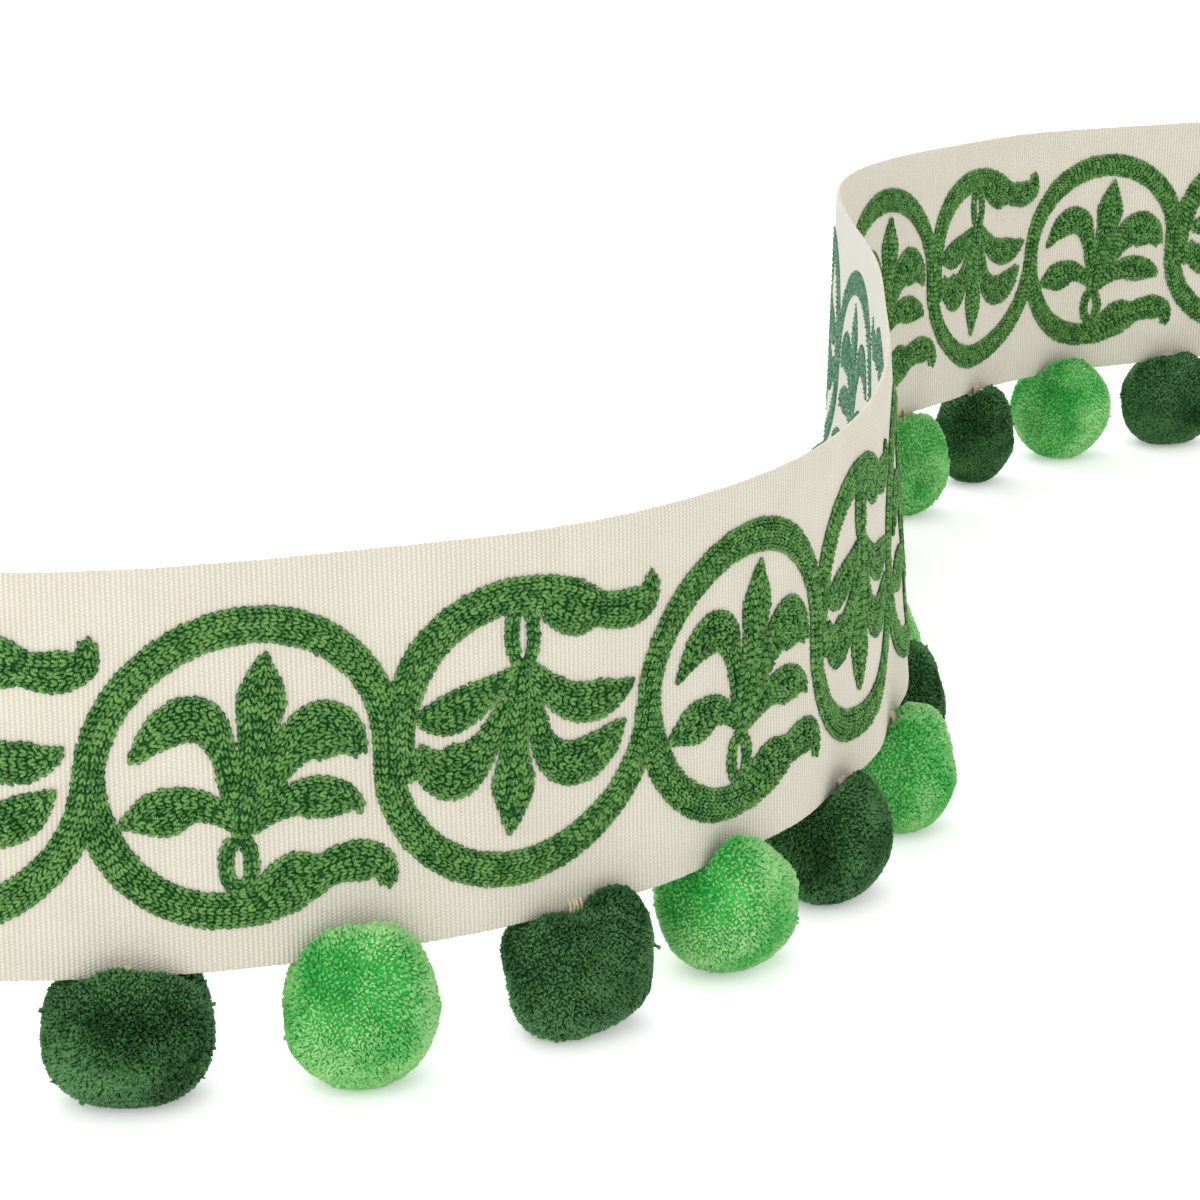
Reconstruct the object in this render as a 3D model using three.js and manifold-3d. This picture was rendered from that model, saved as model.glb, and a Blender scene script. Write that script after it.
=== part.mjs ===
// Pompom braid: a cut length of woven tape that stands on edge in a soft S, with a row of cut-pile
// pompoms sewn along its lower edge. The tape never reaches the floor: the pompoms carry it.
//
// Millimetres, +Z up, the floor at z = 0 and the origin at the middle of the footprint. The view from
// the front looks along +Y with +X to the right. The tape is described by three measures: s runs along
// it from its left end, v up its width from the lower edge, and w out of the face that gets the
// needlework. That face looks to the right of the way the tape runs.

import * as THREE from 'three';
import { mergeVertices } from 'three/addons/utils/BufferGeometryUtils.js';
import Module from 'manifold-3d';

const wasm = await Module();
wasm.setup();

// Tape
const TAPE_LENGTH = 702;
const TAPE_WIDTH = 76;
const TAPE_THICKNESS = 1.2;
const SELVEDGE_DEPTH = 1.6; // the last threads at each long edge, where the cloth is thinner
const SELVEDGE_THINNING = 0.35; // taken off each face at the very edge
const STEPS_ALONG = 104;
const STEPS_ACROSS = 6;
const START = { x: -180.89, y: -232.15 }; // foot of the left end

// How the tape stands, from its left end to its right. along is the distance from the left end; heading
// is the way it runs, in degrees from +X towards +Y; lean tips the upper edge back from the face, in
// degrees; lift is the height of the lower edge over the floor.
const STANCES = [
  { along: 0, heading: -16, lean: 3, lift: 25.5 },
  { along: 48, heading: 1, lean: 3, lift: 25 },
  { along: 108, heading: 23, lean: 4, lift: 25 },
  { along: 148, heading: 32, lean: 0, lift: 24.5 },
  { along: 228, heading: 61, lean: 2, lift: 24.5 },
  { along: 308, heading: 83, lean: 4, lift: 25.5 },
  { along: 348, heading: 96, lean: 3, lift: 26.5 },
  { along: 388, heading: 93, lean: -1, lift: 27.5 },
  { along: 433, heading: 97, lean: -3, lift: 29 },
  { along: 478, heading: 87, lean: -3, lift: 30 },
  { along: 518, heading: 56, lean: 2, lift: 30.5 },
  { along: 548, heading: 52, lean: 4, lift: 30.5 },
  { along: 588, heading: 60, lean: 2, lift: 28.5 },
  { along: 648, heading: 24, lean: -2, lift: 26.5 },
  { along: 702, heading: 12, lean: -4, lift: 27.5 },
];
const EASING = 48; // over this length one stance blends into the next
const EASING_SAMPLES = 12;
const PATH_STEP = 1;

// Small unevenness of the cloth: the hem is drawn in at each pompom and bellies out between them, and
// the upper edge wanders a little.
const HEM_BELLY = 0.9;
const HEM_DIP = 0.5;
const TOP_WANDER = 0.7;
const WANDER_LENGTH = 173;

// Pompoms, evenly spaced but for the shift in the table
const POM_PITCH = 43.65;
const FIRST_POM = 21.4; // from the left end of the tape
const POM_SINK = 0.9; // how much of the ball is pressed flat on the floor
const POM_DETAIL = 4;
const LUMP_HEIGHT = 1;
const LUMPS_FROM = -0.75; // lumps and waist fade in between these two heights, over the pressed spot;
const LUMPS_FULL = -0.2; // -1 is the bottom of the ball and 1 its top
const WAIST_DEPTH = 0.9; // shallow hollow round the middle, where the yarn is tied
const WAIST_SPREAD = 0.28; // radians to each side of the middle
const PINCH_DEPTH = 3.4; // dimple at the top, where the tie pulls
const PINCH_SPREAD = 0.3; // radians
const HEM_CLEARANCE = 0.45; // the hem sits in a slot of the pile
const LOCKS_PER_POM = 6; // loose locks of pile that stand out of the ball
const LOCK_LENGTH = 1.7;
const LOCK_RADIUS = 1.1;
const LOCK_ROOT = 1.2; // how deep a lock's root sits in the ball
const LOCK_LOWEST = -0.45; // the heights between which locks stand, on the same scale
const LOCK_HIGHEST = 0.5;

// One row for each pompom, from the left end. shift moves it along the tape and ahead out of its face;
// long, deep and tall are its sizes along the tape, across it and upwards; square is 2 for a round
// outline from the front and more for a boxier clip; roll lifts its right shoulder, in degrees.
const POMPOMS = [
  { shift: 0, ahead: 0, long: 30, deep: 28, tall: 27, square: 2.3, roll: 0 },
  { shift: 0.3, ahead: -1.8, long: 31.5, deep: 27, tall: 26.5, square: 2.6, roll: -3 },
  { shift: -0.5, ahead: 1.8, long: 29.5, deep: 28, tall: 29, square: 2.1, roll: 0 },
  { shift: 1.6, ahead: 0.6, long: 30.5, deep: 26.5, tall: 28, square: 2.9, roll: 8 },
  { shift: 1.4, ahead: -2.2, long: 31, deep: 28, tall: 27, square: 2.3, roll: -4 },
  { shift: 1.2, ahead: -2.4, long: 29, deep: 27, tall: 26.5, square: 2.7, roll: 3 },
  { shift: 0, ahead: 1.4, long: 28, deep: 27.5, tall: 27.5, square: 2.1, roll: 3 },
  { shift: 0.5, ahead: -2.3, long: 29, deep: 27, tall: 27.5, square: 2.4, roll: 0 },
  { shift: 0.8, ahead: -2.5, long: 30, deep: 28, tall: 28.5, square: 2.2, roll: -4 },
  { shift: 0.4, ahead: 0.4, long: 31, deep: 29, tall: 29.5, square: 2.5, roll: 2 },
  { shift: -0.2, ahead: 2.8, long: 29, deep: 28, tall: 30, square: 2.2, roll: 0 },
  { shift: 0, ahead: 2, long: 30, deep: 29, tall: 31, square: 2.4, roll: 0 },
  { shift: -0.4, ahead: -0.6, long: 29, deep: 28, tall: 31, square: 2.2, roll: -2 },
  { shift: -1, ahead: -0.5, long: 26, deep: 25, tall: 30, square: 2, roll: 4 },
  { shift: -1.6, ahead: 1.2, long: 32, deep: 30, tall: 31.5, square: 1.9, roll: 0 },
  { shift: -4, ahead: 1.6, long: 30, deep: 28, tall: 29, square: 2.4, roll: 2 },
];

// Ties: each pompom hangs from a small binding of thread that grips the hem from below.
const TIE_LENGTH = 3.4;
const TIE_LEG = 2.4; // how far it reaches up each face of the tape
const TIE_THREAD = 1; // thickness of a leg
const TIE_BASE = 1.5; // thickness under the hem
const TIE_GAP = 0.35; // to the cloth and to the pile
const TIE_ROUNDING = 0.5;

const tapeCloth = new THREE.MeshStandardMaterial({ color: 0xe4decd, roughness: 0.9, metalness: 0 });
const darkPile = new THREE.MeshStandardMaterial({ color: 0x32562e, roughness: 0.95, metalness: 0 });
const brightPile = new THREE.MeshStandardMaterial({ color: 0x54a855, roughness: 0.95, metalness: 0 });
const tieThread = new THREE.MeshStandardMaterial({ color: 0xb89c79, roughness: 0.9, metalness: 0 });

// A column of the table at s, joined by straight lines and carried on past both ends.
function column(name, s) {
  let row = 1;
  while (row < STANCES.length - 1 && s > STANCES[row].along) row += 1;
  const [a, b] = [STANCES[row - 1], STANCES[row]];
  return THREE.MathUtils.mapLinear(s, a.along, b.along, a[name], b[name]);
}

// The same column with its corners eased.
function eased(name, s) {
  let sum = 0;
  for (let i = 0; i < EASING_SAMPLES; i += 1) {
    sum += column(name, s + EASING * ((i + 0.5) / EASING_SAMPLES - 0.5));
  }
  return sum / EASING_SAMPLES;
}

// The line on the floor under the hem, walked in short steps.
const path = [new THREE.Vector2(START.x, START.y)];
for (let s = 0; s < TAPE_LENGTH; s += PATH_STEP) {
  const heading = THREE.MathUtils.degToRad(eased('heading', s + PATH_STEP / 2));
  const step = new THREE.Vector2(Math.cos(heading), Math.sin(heading)).multiplyScalar(PATH_STEP);
  path.push(path.at(-1).clone().add(step));
}

function pathAt(s) {
  const index = THREE.MathUtils.clamp(Math.floor(s / PATH_STEP), 0, path.length - 2);
  return path[index].clone().lerp(path[index + 1], s / PATH_STEP - index);
}

// The tape's own directions at s: along it, up its width and out of its face.
function directions(s) {
  const heading = THREE.MathUtils.degToRad(eased('heading', s));
  const lean = THREE.MathUtils.degToRad(eased('lean', s));
  const along = new THREE.Vector3(Math.cos(heading), Math.sin(heading), 0);
  const side = new THREE.Vector3(Math.sin(heading), -Math.cos(heading), 0);
  const up = new THREE.Vector3(0, 0, Math.cos(lean)).addScaledVector(side, -Math.sin(lean));
  const out = new THREE.Vector3(0, 0, Math.sin(lean)).addScaledVector(side, Math.cos(lean));
  return { along, side, up, out };
}

// A point of the tape in space.
function onTape(s, v, w) {
  const { up, out } = directions(s);
  const foot = pathAt(s);
  const height = v / TAPE_WIDTH;
  const hem = (1 - height) ** 2;
  const swing = Math.cos((2 * Math.PI * (s - FIRST_POM)) / POM_PITCH);
  const wander = TOP_WANDER * height * Math.sin((2 * Math.PI * s) / WANDER_LENGTH);
  const billow = wander - HEM_BELLY * hem * swing;
  return new THREE.Vector3(foot.x, foot.y, eased('lift', s) - (HEM_DIP * hem * (swing + 1)) / 2)
    .addScaledVector(up, v)
    .addScaledVector(out, w + billow);
}

// A geometry with each of its points moved by a rule, welded so that neighbouring faces share points.
function reshaped(geometry, move) {
  geometry.deleteAttribute('normal');
  geometry.deleteAttribute('uv');
  const welded = mergeVertices(geometry, 1e-4);
  const points = welded.getAttribute('position');
  const point = new THREE.Vector3();
  for (let i = 0; i < points.count; i += 1) {
    move(point.fromBufferAttribute(points, i));
    points.setXYZ(i, point.x, point.y, point.z);
  }
  welded.computeVertexNormals();
  return welded;
}

// A stretch of cloth between two distances along the tape, bottom to top, of the given thickness.
function clothPiece({ from, to, bottom, top, thickness, stepsAlong, stepsAcross, thinning }) {
  const slab = new THREE.BoxGeometry(to - from, top - bottom, thickness, stepsAlong, stepsAcross, 1);
  const height = top - bottom;
  return reshaped(slab, (point) => {
    const s = point.x + (from + to) / 2;
    const row = Math.round((point.y / height + 0.5) * stepsAcross);
    const inner = height - 2 * SELVEDGE_DEPTH;
    const edge = row === 0 || row === stepsAcross;
    let v = bottom + SELVEDGE_DEPTH + (inner * (row - 1)) / (stepsAcross - 2);
    if (row === 0) v = bottom;
    if (row === stepsAcross) v = top;
    const w = Math.sign(point.z) * (thickness / 2 - (edge ? thinning : 0));
    point.copy(onTape(s, v, w));
  });
}

function toSolid(geometry) {
  return new wasm.Manifold(
    new wasm.Mesh({
      numProp: 3,
      vertProperties: new Float32Array(geometry.getAttribute('position').array),
      triVerts: new Uint32Array(geometry.index.array),
    }),
  );
}

function toGeometry(solid) {
  const mesh = solid.getMesh();
  const geometry = new THREE.BufferGeometry();
  geometry.setAttribute('position', new THREE.BufferAttribute(mesh.vertProperties.slice(), 3));
  geometry.setIndex(new THREE.BufferAttribute(mesh.triVerts.slice(), 1));
  geometry.computeVertexNormals();
  return geometry;
}

// Repeatable scatter
function scatter(seed) {
  let state = seed;
  return () => {
    state = (state * 16807) % 2147483647;
    return state / 2147483647;
  };
}

// How far the ball's surface lies from its centre in a direction, in its own axes: x along the tape,
// y into it and z up.
function ballReach(pom, direction, phase) {
  const { x, y, z } = direction;
  const wide = Math.abs(x / (pom.long / 2)) ** pom.square;
  const high = Math.abs(z / (pom.tall / 2 + POM_SINK / 2)) ** pom.square;
  const size = Math.hypot((wide + high) ** (1 / pom.square), y / (pom.deep / 2));
  const fromTop = Math.acos(THREE.MathUtils.clamp(z, -1, 1));
  const fromMiddle = Math.asin(THREE.MathUtils.clamp(Math.abs(x), 0, 1));
  const upper = THREE.MathUtils.smoothstep(z, LUMPS_FROM, LUMPS_FULL);
  const lumps =
    Math.sin(4.1 * x + phase) * Math.cos(3.7 * y - 2 * phase) +
    Math.sin(5.3 * z + 2.6 * x - phase) * Math.cos(4.4 * y + phase);
  return (
    1 / size +
    (upper * LUMP_HEIGHT * lumps) / 2 -
    upper * WAIST_DEPTH * Math.exp(-((fromMiddle / WAIST_SPREAD) ** 2)) -
    PINCH_DEPTH * Math.exp(-((fromTop / PINCH_SPREAD) ** 2))
  );
}

// A pompom: a lumpy ball, flat where it rests, with locks of pile that stand out of it. It is cut back
// from the hem and the tie.
function pompom(pom, index, s, tie) {
  const { along, side } = directions(s);
  const phase = 1.7 * index;
  const roll = THREE.MathUtils.degToRad(pom.roll);
  const foot = pathAt(s);
  const centre = new THREE.Vector3(foot.x, foot.y, pom.tall / 2 - POM_SINK / 2);
  centre.addScaledVector(side, pom.ahead);
  const into = side.clone().negate();
  const place = (direction, reach) => {
    const rolled = direction.clone().applyAxisAngle(new THREE.Vector3(0, 1, 0), -roll);
    return centre
      .clone()
      .addScaledVector(along, rolled.x * reach)
      .addScaledVector(into, rolled.y * reach)
      .add(new THREE.Vector3(0, 0, rolled.z * reach));
  };
  const ball = reshaped(new THREE.IcosahedronGeometry(1, POM_DETAIL), (point) => {
    const direction = point.clone().normalize();
    point.copy(place(direction, ballReach(pom, direction, phase)));
    point.z = Math.max(point.z, 0);
  });
  let solid = toSolid(ball);

  const random = scatter(97 + 31 * index);
  for (let lock = 0; lock < LOCKS_PER_POM; lock += 1) {
    const turn = 2 * Math.PI * ((lock + 0.7 * random()) / LOCKS_PER_POM);
    const rise = THREE.MathUtils.lerp(LOCK_LOWEST, LOCK_HIGHEST, random());
    const flat = Math.sqrt(1 - rise * rise);
    const direction = new THREE.Vector3(Math.cos(turn) * flat, Math.sin(turn) * flat, rise);
    const tip = LOCK_LENGTH * (0.6 + 0.6 * random());
    const root = place(direction, ballReach(pom, direction, phase) - LOCK_ROOT);
    const outward = place(direction, 1).sub(centre);
    const pyramid = new THREE.ConeGeometry(LOCK_RADIUS, LOCK_ROOT + tip, 4, 1);
    pyramid.translate(0, (LOCK_ROOT + tip) / 2, 0);
    const stand = new THREE.Quaternion().setFromUnitVectors(new THREE.Vector3(0, 1, 0), outward);
    const shaped = reshaped(pyramid, (point) => point.applyQuaternion(stand).add(root));
    solid = solid.add(toSolid(shaped));
  }

  const stepLength = TAPE_LENGTH / STEPS_ALONG;
  const reach = Math.ceil(pom.long / 2 / stepLength) + 1;
  const middle = Math.round(s / stepLength);
  const slot = clothPiece({
    from: (middle - reach) * stepLength,
    to: (middle + reach) * stepLength,
    bottom: -HEM_CLEARANCE,
    top: pom.tall / 2,
    thickness: TAPE_THICKNESS + 2 * HEM_CLEARANCE,
    stepsAlong: 2 * reach,
    stepsAcross: 3,
    thinning: 0,
  });
  return toGeometry(solid.subtract(toSolid(slot)).subtract(toSolid(tie)));
}

// A tie: a U of thread over the hem, seen end on, drawn round it. grow makes the room it needs.
function tieBinding(s, grow) {
  const inside = TAPE_THICKNESS / 2 + TIE_GAP;
  const half = inside + TIE_THREAD + grow;
  const bottom = -TIE_GAP - TIE_BASE - grow;
  const round = TIE_ROUNDING;
  const shape = new THREE.Shape();
  shape.moveTo(-half + round, bottom);
  shape.lineTo(half - round, bottom);
  shape.quadraticCurveTo(half, bottom, half, bottom + round);
  shape.lineTo(half, TIE_LEG + grow);
  if (grow === 0) {
    shape.lineTo(inside, TIE_LEG);
    shape.lineTo(inside, -TIE_GAP);
    shape.lineTo(-inside, -TIE_GAP);
    shape.lineTo(-inside, TIE_LEG);
  }
  shape.lineTo(-half, TIE_LEG + grow);
  shape.lineTo(-half, bottom + round);
  shape.quadraticCurveTo(-half, bottom, -half + round, bottom);
  const depth = TIE_LENGTH + 2 * grow;
  const bar = new THREE.ExtrudeGeometry(shape, { depth, bevelEnabled: false, curveSegments: 3 });
  const origin = onTape(s, 0, 0);
  const { along } = directions(s);
  const up = onTape(s, TIE_LEG, 0).sub(origin).normalize();
  const out = new THREE.Vector3().crossVectors(along, up).normalize();
  return reshaped(bar, (point) => {
    const { x, y, z } = point;
    point
      .copy(origin)
      .addScaledVector(out, x)
      .addScaledVector(up, y)
      .addScaledVector(along, depth / 2 - z);
  });
}

function named(name, geometry, material) {
  const mesh = new THREE.Mesh(geometry, material);
  mesh.name = name;
  return mesh;
}

const trim = new THREE.Group();

trim.add(
  named(
    'tape',
    clothPiece({
      from: 0,
      to: TAPE_LENGTH,
      bottom: 0,
      top: TAPE_WIDTH,
      thickness: TAPE_THICKNESS,
      stepsAlong: STEPS_ALONG,
      stepsAcross: STEPS_ACROSS,
      thinning: SELVEDGE_THINNING,
    }),
    tapeCloth,
  ),
);

POMPOMS.forEach((pom, index) => {
  const s = FIRST_POM + index * POM_PITCH + pom.shift;
  const number = String(index + 1).padStart(2, '0');
  const pile = index % 2 === 0 ? brightPile : darkPile;
  trim.add(named(`tie_${number}`, tieBinding(s, 0), tieThread));
  trim.add(named(`pompom_${number}`, pompom(pom, index, s, tieBinding(s, TIE_GAP)), pile));
});

export default trim;
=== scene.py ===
# %% [markdown]
# A pompom braid: a cut length of off-white ribbed tape that stands on edge in a soft S. Green chain
# stitch covers its outer face with a running leaf scroll, and a row of cut-pile pompoms, in turn dark
# and bright green, is sewn along its lower edge and carries it.
#
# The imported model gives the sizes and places. Everything made here lies on it, in metres, with +Z up
# and the floor at z = 0.

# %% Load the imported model
import math

import bpy
import numpy as np
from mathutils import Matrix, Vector
from mathutils.bvhtree import BVHTree
from mathutils.kdtree import KDTree


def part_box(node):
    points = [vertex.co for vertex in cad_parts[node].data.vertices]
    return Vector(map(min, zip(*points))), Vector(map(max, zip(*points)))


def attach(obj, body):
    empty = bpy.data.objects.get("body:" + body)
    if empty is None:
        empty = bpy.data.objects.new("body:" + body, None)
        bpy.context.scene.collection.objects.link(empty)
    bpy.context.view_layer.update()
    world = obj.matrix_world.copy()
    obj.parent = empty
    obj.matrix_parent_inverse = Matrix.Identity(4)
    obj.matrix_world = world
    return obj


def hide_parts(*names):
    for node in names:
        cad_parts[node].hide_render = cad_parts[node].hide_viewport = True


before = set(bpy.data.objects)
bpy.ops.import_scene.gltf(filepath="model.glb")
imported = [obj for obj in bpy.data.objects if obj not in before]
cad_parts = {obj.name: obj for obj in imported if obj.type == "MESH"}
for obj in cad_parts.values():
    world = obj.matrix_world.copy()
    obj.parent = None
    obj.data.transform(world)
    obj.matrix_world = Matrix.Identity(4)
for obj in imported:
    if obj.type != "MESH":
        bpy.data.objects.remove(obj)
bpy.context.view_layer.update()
bpy.ops.object.select_all(action="DESELECT")
MM = 0.001

# %% [markdown]
# The tape is one long strip, so everything on it is easiest to place in the strip's own measures: s
# runs along it from the left end, v up its width from the lower edge, and w out of the stitched face,
# all in millimetres. A short table says how the strip stands: the way it runs, how far it leans and how
# high its lower edge is. A running mean takes the corners out, and small steps along the way it runs
# give its line on the floor. The strip is bent but never stretched, as real cloth is.

# %% How the tape stands
TAPE_LENGTH = 702
TAPE_WIDTH = 76
TAPE_THICKNESS = 1.2
START = (-180.89, -232.15)
EASING = 48
EASING_SAMPLES = 12
STANCES = np.array(
    [
        (0, -16, 3, 25.5),
        (48, 1, 3, 25),
        (108, 23, 4, 25),
        (148, 32, 0, 24.5),
        (228, 61, 2, 24.5),
        (308, 83, 4, 25.5),
        (348, 96, 3, 26.5),
        (388, 93, -1, 27.5),
        (433, 97, -3, 29),
        (478, 87, -3, 30),
        (518, 56, 2, 30.5),
        (548, 52, 4, 30.5),
        (588, 60, 2, 28.5),
        (648, 24, -2, 26.5),
        (702, 12, -4, 27.5),
    ],
    dtype=[("along", float), ("heading", float), ("lean", float), ("lift", float)],
)


def column(name, s):
    """A column of the table at s, joined by straight lines and carried on past both ends."""
    row = np.clip(np.searchsorted(STANCES["along"], s), 1, len(STANCES) - 1)
    a, b = STANCES[row - 1], STANCES[row]
    return a[name] + (s - a["along"]) * (b[name] - a[name]) / (b["along"] - a["along"])


def eased(name, s):
    """The same column with its corners eased."""
    shifts = EASING * ((np.arange(EASING_SAMPLES) + 0.5) / EASING_SAMPLES - 0.5)
    return np.mean([column(name, s + shift) for shift in shifts], axis=0)


marks = np.arange(TAPE_LENGTH + 1)
headings = np.radians(eased("heading", marks[:-1] + 0.5))
path_x = START[0] + np.concatenate([[0], np.cumsum(np.cos(headings))])
path_y = START[1] + np.concatenate([[0], np.cumsum(np.sin(headings))])
print("the tape ends at, mm:", round(path_x[-1], 1), round(path_y[-1], 1))

# %% [markdown]
# The hem isn't a clean line: it is drawn in a little at each pompom and bellies out between them, and
# the upper edge wanders. The pompoms hang at an even pitch, so one cosine gives the hem its rhythm.

# %% Points on the tape
POM_PITCH = 43.65
FIRST_POM = 21.4
HEM_BELLY = 0.9
HEM_DIP = 0.5
TOP_WANDER = 0.7
WANDER_LENGTH = 173


def on_tape(s, v, w):
    """Points in space, in metres, for strip measures in millimetres."""
    s, v, w = np.broadcast_arrays(*(np.asarray(x, float) for x in (s, v, w)))
    heading, lean = (np.radians(np.interp(s, marks, eased(x, marks))) for x in ("heading", "lean"))
    side = np.stack([np.sin(heading), -np.cos(heading), np.zeros_like(s)], -1)
    rise = np.array([0, 0, 1])
    up = rise * np.cos(lean)[..., None] - side * np.sin(lean)[..., None]
    out = rise * np.sin(lean)[..., None] + side * np.cos(lean)[..., None]
    height = v / TAPE_WIDTH
    hem = (1 - height) ** 2
    swing = np.cos(2 * np.pi * (s - FIRST_POM) / POM_PITCH)
    billow = TOP_WANDER * height * np.sin(2 * np.pi * s / WANDER_LENGTH) - HEM_BELLY * hem * swing
    lift = np.interp(s, marks, eased("lift", marks)) - HEM_DIP * hem * (swing + 1) / 2
    foot = np.stack([np.interp(s, marks, path_x), np.interp(s, marks, path_y), lift], -1)
    return (foot + up * v[..., None] + out * (w + billow)[..., None]) * MM


_, tape_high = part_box("tape")
edge = on_tape(marks, TAPE_WIDTH, 0)
print("top of the strip and of the solid, mm:", round(edge[:, 2].max() / MM, 2), round(tape_high.z / MM, 2))

# %% [markdown]
# Materials are node trees, and most of the work in them is arithmetic on numbers that vary over the
# surface. Wiring Math nodes by hand hides that arithmetic, so a small class wraps a socket and lets
# Python's own operators add the nodes. Every other node comes from one method.

# %% Shader arithmetic
class Wire:
    """A socket that carries a number, with the operators that the finishes use."""

    def __init__(self, finish, socket):
        self.finish = finish
        self.socket = socket

    def __add__(self, other):
        return self.finish.math("ADD", self, other)

    def __sub__(self, other):
        return self.finish.math("SUBTRACT", self, other)

    def __rsub__(self, other):
        return self.finish.math("SUBTRACT", other, self)

    def __mul__(self, other):
        return self.finish.math("MULTIPLY", self, other)

    def __mod__(self, other):
        return self.finish.math("FLOORED_MODULO", self, other)

    __radd__ = __add__
    __rmul__ = __mul__


class Finish:
    """A new material and the nodes in it."""

    def __init__(self, name):
        self.material = bpy.data.materials.new(name)
        self.material.use_nodes = True
        self.tree = self.material.node_tree
        self.tree.nodes.clear()

    def node(self, kind, settings=(), inputs=()):
        """Adds a node: its settings first, then the values or links of its sockets."""
        node = self.tree.nodes.new("ShaderNode" + kind)
        for name, value in dict(settings).items():
            setattr(node, name, value)
        for name, value in dict(inputs).items():
            if isinstance(value, Wire):
                self.tree.links.new(value.socket, node.inputs[name])
            else:
                node.inputs[name].default_value = value
        return node

    def math(self, operation, *values):
        node = self.node("Math", {"operation": operation}, enumerate(values))
        return Wire(self, node.outputs[0])

    def clamped(self, value):
        node = self.node("Clamp", {}, {"Value": value})
        return Wire(self, node.outputs[0])

    def wave(self, turns):
        """0 at half turns, 1 at whole turns, and smooth between."""
        return self.math("COSINE", turns * (2 * math.pi)) * 0.5 + 0.5

    def noise(self, size, detail):
        """Smooth noise from 0 to 1 over the object, its lumps about size metres across."""
        place = Wire(self, self.node("TexCoord").outputs["Object"])
        placed = self.node("Mapping", {}, {"Vector": place, "Scale": [1 / size] * 3})
        texture = self.node(
            "TexNoise", {}, {"Vector": Wire(self, placed.outputs[0]), "Scale": 1.0, "Detail": detail}
        )
        return Wire(self, texture.outputs["Fac"])

    def blend(self, amount, a, b):
        """A colour between a and b, which are colours or wires."""
        node = self.node("Mix", {"data_type": "RGBA"}, {"Factor": self.clamped(amount)})
        for name, value in (("A", a), ("B", b)):
            socket = next(x for x in node.inputs if x.name == name and x.type == "RGBA")
            if isinstance(value, Wire):
                self.tree.links.new(value.socket, socket)
            else:
                socket.default_value = (*value, 1)
        return Wire(self, next(x for x in node.outputs if x.type == "RGBA"))

    def stored(self, name, output="Fac"):
        """A number or, from the output Vector, three numbers kept on the mesh."""
        node = self.node("Attribute", {"attribute_name": name})
        return Wire(self, node.outputs[output])

    def surface(self, color, roughness, height=None, depth=0.0, **constants):
        """Ends the tree: height is a relief of depth metres."""
        inputs = {"Base Color": color, "Roughness": roughness}
        inputs |= {name.replace("_", " "): value for name, value in constants.items()}
        if height is not None:
            bump = self.node("Bump", {}, {"Height": height, "Distance": depth, "Strength": 1.0})
            inputs["Normal"] = Wire(self, bump.outputs[0])
        shader = self.node("BsdfPrincipled", {}, inputs)
        output = self.node("OutputMaterial")
        self.tree.links.new(shader.outputs[0], output.inputs[0])
        return self.material


# %% [markdown]
# The tape is woven with thick weft ribs that run up its width, bound by thin warp threads. Each rib is
# therefore a row of beads, and every second row is half a bead higher. The ribs are real relief in the
# mesh. The beads are finer than the mesh can hold, so the material raises them, on the strip's own UV
# map, where the pattern follows every bend.

# %% Cotton of the tape
RIBS = 740
BEAD = 0.68
BEAD_RELIEF = 0.16
COTTON_PATCH = 9
COTTON_FIBRE = 0.4


def cotton(name, light, dark):
    finish = Finish(name)
    place = finish.node("UVMap", {"uv_map": "UVMap"})
    parts = finish.node("SeparateXYZ", {}, {"Vector": Wire(finish, place.outputs[0])})
    ribs = Wire(finish, parts.outputs["X"]) * RIBS
    beads = Wire(finish, parts.outputs["Y"]) * (TAPE_WIDTH / BEAD)
    rib_number = finish.math("FLOOR", ribs + 0.5)
    rib = finish.wave(ribs)
    slant = finish.wave(ribs + 0.25) * 0.3
    bead = finish.wave(beads + (rib_number % 2) * 0.5 + slant)
    relief = rib * 0.3 + rib * bead * 0.7
    patches = finish.noise(COTTON_PATCH * MM, 3)
    fibres = finish.noise(COTTON_FIBRE * MM, 2)
    # The colour follows the relief and is darker in the hollows between ribs and beads: painted shade.
    # Patches and fibres vary the tone at random.
    tone_and_shade = relief * 0.8 + patches * 0.25 + fibres * 0.25 - 0.05
    return finish.surface(
        finish.blend(tone_and_shade, dark, light),
        1 - relief * 0.12,
        relief + fibres * 0.25,
        BEAD_RELIEF * MM,
        Sheen_Weight=0.15,
        Sheen_Roughness=0.5,
    )


tape_face = cotton("tape cotton", light=(0.775, 0.74, 0.635), dark=(0.47, 0.425, 0.335))
# The reverse takes darker colours than the face: painted shade on that side of the tape.
shaded_tape_back = cotton("tape reverse in painted shade", light=(0.66, 0.65, 0.59), dark=(0.47, 0.46, 0.405))
print("materials:", tape_face.name, "and", shaded_tape_back.name)

# %% [markdown]
# The cloth starts as a flat grid of the cut size, four columns to each rib. Its points are moved to
# where the strip stands, and Solidify gives it its thickness. A vertex group makes the cloth thinner
# between ribs and at the two selvedges, on both faces at once, which leaves the ribs standing. At a
# selvedge each weft thread turns back a little higher or lower than the last.

# %% The tape
RIB_STEPS = 4
ROWS = 8
SELVEDGE_DEPTH = 1.6
RIB_HOLLOW = 0.08
SELVEDGE_THINNING = 0.45
EDGE_UNEVEN = 0.05
random = np.random.default_rng(7)

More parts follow.
